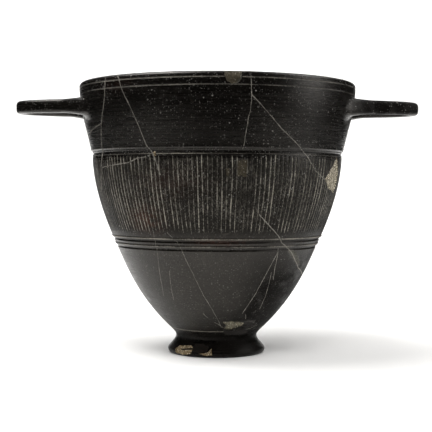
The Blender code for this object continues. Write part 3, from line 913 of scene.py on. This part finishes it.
breakEdge = {
    "step": 0.7,  # mm between points of an outline
    "ragged": 0.12,  # share of the distance to the middle
    "mostRagged": 0.75,  # mm
    "notches": 0.9,  # per mm
    "floorBumps": 0.7,  # per mm
    "floorRelief": 0.3,  # share of the depth
    "lipFrom": 155.0,  # height in mm from which the depth at the lip takes over
    "passes": 3,  # neighbouring losses touch, so they are cut in turns
    "above": ((1.12, 3.0), (1.02, 0.25)),  # share of the outline, and mm above the skin
    "slope": ((1.0, 0.0), (0.95, 0.5), (0.86, 0.85)),  # share of the outline, and of the depth
    "floor": (0.66, 0.4, 0.15),  # share of the outline
}


# Points along a closed outline at a plain spacing, in the order that turns its faces outwards.
def outlinePoints(corners):
    pairs = zip(corners, corners[1:] + corners[:1])
    if sum(u * nextV - nextU * v for (u, v), (nextU, nextV) in pairs) < 0:
        corners.reverse()
    points = []
    for i, (u, v) in enumerate(corners):
        nextU, nextV = corners[(i + 1) % len(corners)]
        pieces = max(2, round(math.hypot(nextU - u, nextV - v) / breakEdge["step"]))
        for k in range(pieces):
            t = k / pieces
            points.append((u + (nextU - u) * t, v + (nextV - v) * t))
    return points


# A plug that cuts one loss: its outline at the wall, a ragged slope and an uneven floor.
def lossPlug(shape, outline, depth, lipDepth, slot, seed):
    middleAngle = sum(a for a, h in outline) / len(outline)
    middleHeight = sum(h for a, h in outline) / len(outline)
    middleRadius = wallRadius(middleHeight)
    scale = math.radians(middleRadius)
    rim = outlinePoints([((a - middleAngle) * scale, h - middleHeight) for a, h in outline])
    ragged = min(breakEdge["mostRagged"], breakEdge["ragged"] * math.hypot(*rim[0]))
    notches, bumps, lipFrom = breakEdge["notches"], breakEdge["floorBumps"], breakEdge["lipFrom"]
    rows = []
    levels = [(share, -height) for share, height in breakEdge["above"]]
    levels += [*breakEdge["slope"], *((share, 1.0) for share in breakEdge["floor"])]
    for share, sink in levels:
        row = []
        for u, v in rim:
            push = noise.noise((u * notches, v * notches, seed * 5.3)) * ragged
            length = math.hypot(u, v) or 1.0
            su = u * share + u / length * push * share
            sv = v * share + v / length * push * share
            height = middleHeight + sv
            lip = min(max((height - lipFrom) / (body["height"] - lipFrom), 0), 1)
            floor = depth + (lipDepth - depth) * lip * lip
            if sink > 0.6:
                bumpy = noise.noise((su * bumps, sv * bumps, seed * 3.1))
                floor *= 1 + breakEdge["floorRelief"] * bumpy
            radius = wallRadius(height) - (floor * sink if sink > 0 else sink)
            angle = math.radians(middleAngle) + su / middleRadius
            row.append(shape.verts.new(turnedPoint(angle, radius, height)))
        rows.append(row)
    made = []
    for upper, lower in zip(rows, rows[1:]):
        for c in range(len(rim)):
            after = (c + 1) % len(rim)
            made.append(shape.faces.new((upper[c], lower[c], lower[after], upper[after])))
    made += [shape.faces.new(rows[0]), shape.faces.new(rows[-1][::-1])]
    for face in made:
        face.material_index = slot


def cutLosses():
    slots = list(paints)
    for turn in range(breakEdge["passes"]):
        shape = bmesh.new()
        cuts = list(enumerate(losses.values(), 1))[turn :: breakEdge["passes"]]
        for number, (depth, lipDepth, paint, outline) in cuts:
            lossPlug(shape, outline, depth, lipDepth, slots.index(paint), number)
        mesh = bpy.data.meshes.new("lossPlugs")
        shape.to_mesh(mesh)
        shape.free()
        for paint in paints.values():
            mesh.materials.append(paint)
        plugs = addMeshObject("lossPlugs", mesh)
        addBoolean(cup, "DIFFERENCE", plugs)
        applyModifiers(cup)
        bpy.data.objects.remove(plugs)


cutLosses()
cup.data.shade_smooth()
cup.data.set_sharp_from_angle(angle=math.radians(body["sharpAngle"]))
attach(cup, "root")
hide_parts("skyphos")
print("losses cut:", sum(len(face.vertices) - 2 for face in cup.data.polygons), "triangles")


# Lines along which the sherds are put together: width in mm, and the angles in degrees and
# heights in mm that each runs through.
joins = {
    "lipToBandLeft": (0.86, [
        (-41.5, 159.6), (-40.8, 158), (-39.4, 152), (-35.8, 142.1), (-33.1, 132.4),
        (-30.6, 121.4), (-28, 117.2), (-25.9, 110.7), (-24.8, 105.3),
    ]),
    "leftSherdEdge": (0.88, [
        (-48.4, 159), (-49.5, 149.2), (-51.2, 143.8), (-55.5, 134.2),
        (-58.8, 125.5), (-60.1, 119.9), (-64, 108), (-67.6, 97.2),
    ]),
    "leftCorner": (0.7, [(-55.5, 134.2), (-68.8, 130.9), (-71.7, 129.1)]),
    "bandTopLeft": (0.62, [(-62.4, 109.8), (-49.3, 111.2), (-41.2, 112.1), (-35.3, 114.7), (-31.1, 115.1)]),
    "lipMiddle": (0.54, [(12.4, 157.6), (12.4, 153.1), (12.7, 147.6)]),
    "middleDown": (0.44, [(12.7, 147.6), (12.6, 139.5), (11.9, 135.1), (10.8, 120.7), (10.2, 118.6)]),
    "middleToRight": (0.62, [
        (12.7, 147.6), (19.4, 138.9), (26.1, 130.5), (37.8, 119.8),
        (41.6, 115.9), (47.5, 108.3), (56.3, 103),
    ]),
    "bandToBowl": (0.8, [
        (19.6, 84.2), (24.3, 79.2), (32.8, 71.8), (36, 68.1),
        (45.9, 62.3), (52.8, 57), (59.8, 52.5), (75.8, 47.6),
    ]),
    "bowlRight": (0.58, [(35.1, 64.4), (34.8, 61.6), (31.3, 50.6), (27.5, 38.1), (22.4, 27)]),
    "bowlRightBranch": (0.5, [(35.3, 63.8), (36.6, 52.6), (38.4, 46.6)]),
    "bowlRightLow": (0.4, [(34.8, 51.2), (37.3, 36), (37.8, 29.1)]),
    "bowlShort": (0.4, [(25.8, 26.5), (28, 23.3)]),
    "bowlScratch": (0.34, [(-11.3, 27.2), (-9.6, 25.5), (-7.5, 24.1)]),
    "bowlScratchLow": (0.36, [(-2.4, 21.7), (2.5, 20.0), (7.5, 17.9)]),
    "bowlLeft": (0.26, [
        (-25.3, 73.9), (-20, 67.6), (-17.3, 58.7), (-12.7, 46.7), (-9, 38), (-2.1, 27.7), (5.4, 18),
    ]),
    "bowlFaint": (0.24, [(-33.1, 75.2), (-34.3, 61), (-38.6, 43.5), (-41.2, 36.8)]),
    "bowlFaintRight": (0.24, [(-29.1, 52.1), (-33.2, 34.8)]),
    "neckTail": (0.45, [(36.2, 15.9), (43, 16.8), (50.4, 18.4)]),
    "backLeft": (0.45, [
        (-128, 158), (-136, 140), (-131, 122), (-140, 98), (-133, 74), (-150, 52), (-141, 32),
    ]),
    "backRight": (0.45, [(142, 158), (150, 137), (139, 118), (147, 92), (166, 70), (158, 44)]),
    "backAcross": (0.4, [(-140, 98), (-165, 92), (172, 84), (166, 70)]),
}

paste = {
    "Spacing": 0.9 * mm,
    "Wobble": 0.7 * mm,
    "Sink": 0.7,  # share of the bead's radius that is in the clay
    "Seed": 5,
}
beadRadius = 0.62  # share of a join's width, because most of the bead is in the clay
joinSteps = 8  # points in each stretch of a join before it is evened out


def joinTree():
    inputs = {"Geometry": "Geometry", "Cup": "Object"}
    inputs.update({name: "Int" if name == "Seed" else "Float" for name in paste})
    tree, given = startTree("Filled joins", {**inputs, "Material": "Material"})
    curve = addNode(tree, "GeometryNodeMeshToCurve", {"Mesh": given["Geometry"]})
    even = {"Curve": curve, "Length": given["Spacing"]}
    even = addNode(tree, "GeometryNodeResampleCurve", even, mode="LENGTH")
    place = addNode(tree, "GeometryNodeInputPosition")
    wobble = {"Vector": place, "W": given["Seed"], "Scale": 1 / (3.2 * mm), "Detail": 3.0}
    wobble = addNode(tree, "ShaderNodeTexNoise", wobble, noise_dimensions="4D")
    stray = [wobble.outputs["Color"], (0.5, 0.5, 0.5)]
    stray = addNode(tree, "ShaderNodeVectorMath", stray, operation="SUBTRACT")
    stray = addNode(tree, "ShaderNodeVectorMath", {0: stray, "Scale": given["Wobble"]}, operation="SCALE")
    strayed = addNode(tree, "GeometryNodeSetPosition", {"Geometry": even, "Offset": stray})

    # The line is laid on the nearest clay and sunk, so that only its top shows.
    cupShape = addNode(tree, "GeometryNodeObjectInfo", {"Object": given["Cup"]}).outputs["Geometry"]
    nearest = addNode(tree, "GeometryNodeProximity", [cupShape], target_element="FACES").outputs["Position"]
    laid = addNode(tree, "GeometryNodeSetPosition", {"Geometry": strayed, "Position": nearest})
    outward = {"Mesh": cupShape, "Value": addNode(tree, "GeometryNodeInputNormal")}
    outward = addNode(tree, "GeometryNodeSampleNearestSurface", outward, data_type="FLOAT_VECTOR")
    width = addNode(tree, "GeometryNodeInputNamedAttribute", {"Name": "width"}, data_type="FLOAT")
    uneven = addNode(tree, "ShaderNodeTexNoise", {"Vector": place, "Scale": 1 / (3.5 * mm), "Detail": 3.0})
    share = addNode(tree, "ShaderNodeMapRange", [uneven, 0.32, 0.66, 0.4, 1.15])
    size = product(tree, width, share)
    down = product(tree, size, given["Sink"], -1.0)
    sink = addNode(tree, "ShaderNodeVectorMath", {0: outward, "Scale": down}, operation="SCALE")
    lowered = addNode(tree, "GeometryNodeSetPosition", {"Geometry": laid, "Offset": sink})
    ring = addNode(tree, "GeometryNodeCurvePrimitiveCircle", {"Resolution": 8, "Radius": 1.0})
    bead = {"Curve": lowered, "Profile Curve": ring, "Scale": size, "Fill Caps": True}
    endTree(tree, addNode(tree, "GeometryNodeCurveToMesh", bead), given["Material"])
    return tree


def joinLines():
    verts, edges, widths = [], [], []
    for width, points in joins.values():
        for i in range(len(points) - 1):
            (angleA, heightA), (angleB, heightB) = points[i], points[i + 1]
            if abs(angleB - angleA) > 180:
                angleB += 360 if angleB < angleA else -360
            isLast = i == len(points) - 2
            for k in range(joinSteps + isLast):
                t = k / joinSteps
                angle = math.radians(angleA + (angleB - angleA) * t)
                height = heightA + (heightB - heightA) * t
                if i + k > 0:
                    edges.append((len(verts) - 1, len(verts)))
                verts.append(turnedPoint(angle, wallRadius(height), height))
                widths.append(width * beadRadius * mm)
    mesh = bpy.data.meshes.new("joins")
    mesh.from_pydata(verts, edges, [])
    storeValues(mesh, "width", widths)
    return mesh


seams = addMeshObject("joins", joinLines())
runTree(seams, joinTree(), {**paste, "Cup": cup, "Material": joinPaste})
cleanMesh(seams.data, 0.001 * mm)
seams.data.shade_smooth()
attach(seams, "root")
print("joins laid:", len(seams.data.polygons), "faces")


studio = {
    "floor": "#faf9f7",
    "width": 1.12,
    "frontWidth": 0.6,  # narrow, so that little of it shows in the gloss of the upper wall
    "front": -0.228,
    "middle": 0.1,
    "back": 1.5,
    "bend": 0.7,
    "bendSteps": 16,
    "height": 2.4,
}


# A floor that bends up into a backdrop. It is matt white paper, lit evenly.
def addStage():
    bendStart = studio["back"] - studio["bend"]
    profile = [(studio["front"], 0.0), (studio["middle"], 0.0), (bendStart, 0.0)]
    for step in range(1, studio["bendSteps"] + 1):
        angle = math.radians(90 * step / studio["bendSteps"])
        y = bendStart + studio["bend"] * math.sin(angle)
        profile.append((y, studio["bend"] * (1 - math.cos(angle))))
    profile.append((studio["back"], studio["height"]))
    verts = []
    for y, z in profile:
        share = min((y - studio["front"]) / (bendStart - studio["front"]), 1)
        width = studio["frontWidth"] + (studio["width"] - studio["frontWidth"]) * share
        verts += [(-width / 2, y, z), (width / 2, y, z)]
    faces = [(2 * i, 2 * i + 1, 2 * i + 3, 2 * i + 2) for i in range(len(profile) - 1)]
    mesh = bpy.data.meshes.new("sweep")
    mesh.from_pydata(verts, [], faces)
    mesh.shade_smooth()
    paper, tree, shader = newMaterial("White backdrop paper")
    values = {"Base Color": linearColour(studio["floor"]), "Roughness": 0.9, "Specular IOR Level": 0.1}
    setInputs(tree, shader, values)
    mesh.materials.append(paper)
    sweep = addMeshObject("sweep", mesh)


# Place in metres, point aimed at, size in metres, power in watts, spread in degrees, and whether
# it shows in the gloss. The one in front only fills in, and leaves no glint.
lights = {
    "frontHighFill": ((0.0, -0.9, 1.2), (0.0, 0.0, 0.0), (0.8, 0.8), 5.5, 120, False),
    "overLeftSoftbox": ((-0.38, -0.08, 0.95), (0.0, 0.05, 0.0), (0.55, 0.55), 1.65, 80, True),
    "farLeftSoftbox": ((-0.45, 0.2, 1.1), (0.0, 0.0, 0.0), (0.9, 0.9), 2.6, 120, True),
    "highRightSoftbox": ((0.6, 0.1, 0.8), (0.0, 0.0, 0.0), (0.4, 0.4), 1.2, 120, True),
    "rightStrip": ((0.78, -0.16, 0.28), (0.0, 0.0, 0.1), (0.26, 0.56), 1.5, 180, True),
    "backdropWash": ((0.0, 0.75, 1.5), (0.0, 1.3, 0.2), (0.6, 0.3), 9.0, 100, True),
}
world = {"colour": "#8a8884", "strength": 0.02}
view = {
    "place": (-0.0006, -0.633, 0.0978),
    "down": 1.47,  # degrees below level
    "roll": -0.25,
    "sensor": 36.0,
    "lens": 87.5,  # 1050 px for a picture 432 px wide
}


def addLights():
    for name, (place, target, size, power, spread, inGloss) in lights.items():
        data = bpy.data.lights.new(name, "AREA")
        data.shape = "RECTANGLE"
        data.size, data.size_y = size
        data.energy = power
        data.spread = math.radians(spread)
        lamp = bpy.data.objects.new(name, data)
        lamp.location = place
        lamp.rotation_euler = (Vector(target) - Vector(place)).to_track_quat("-Z", "Y").to_euler()
        lamp.visible_glossy = inGloss
        bpy.context.scene.collection.objects.link(lamp)
    room = bpy.data.worlds.new("Dim room")
    room.use_nodes = True
    values = {"Color": linearColour(world["colour"]), "Strength": world["strength"]}
    setInputs(room.node_tree, room.node_tree.nodes["Background"], values)
    bpy.context.scene.world = room


def addCamera():
    data = bpy.data.cameras.new("camera")
    data.sensor_width = view["sensor"]
    data.lens = view["lens"]
    camera = bpy.data.objects.new("camera", data)
    camera.location = view["place"]
    camera.rotation_euler = (math.radians(90 - view["down"]), math.radians(view["roll"]), 0.0)
    bpy.context.scene.collection.objects.link(camera)
    bpy.context.scene.camera = camera


addStage()
addLights()
addCamera()
bpy.context.scene.view_settings.view_transform = "Standard"
print("stage, lights and camera set")
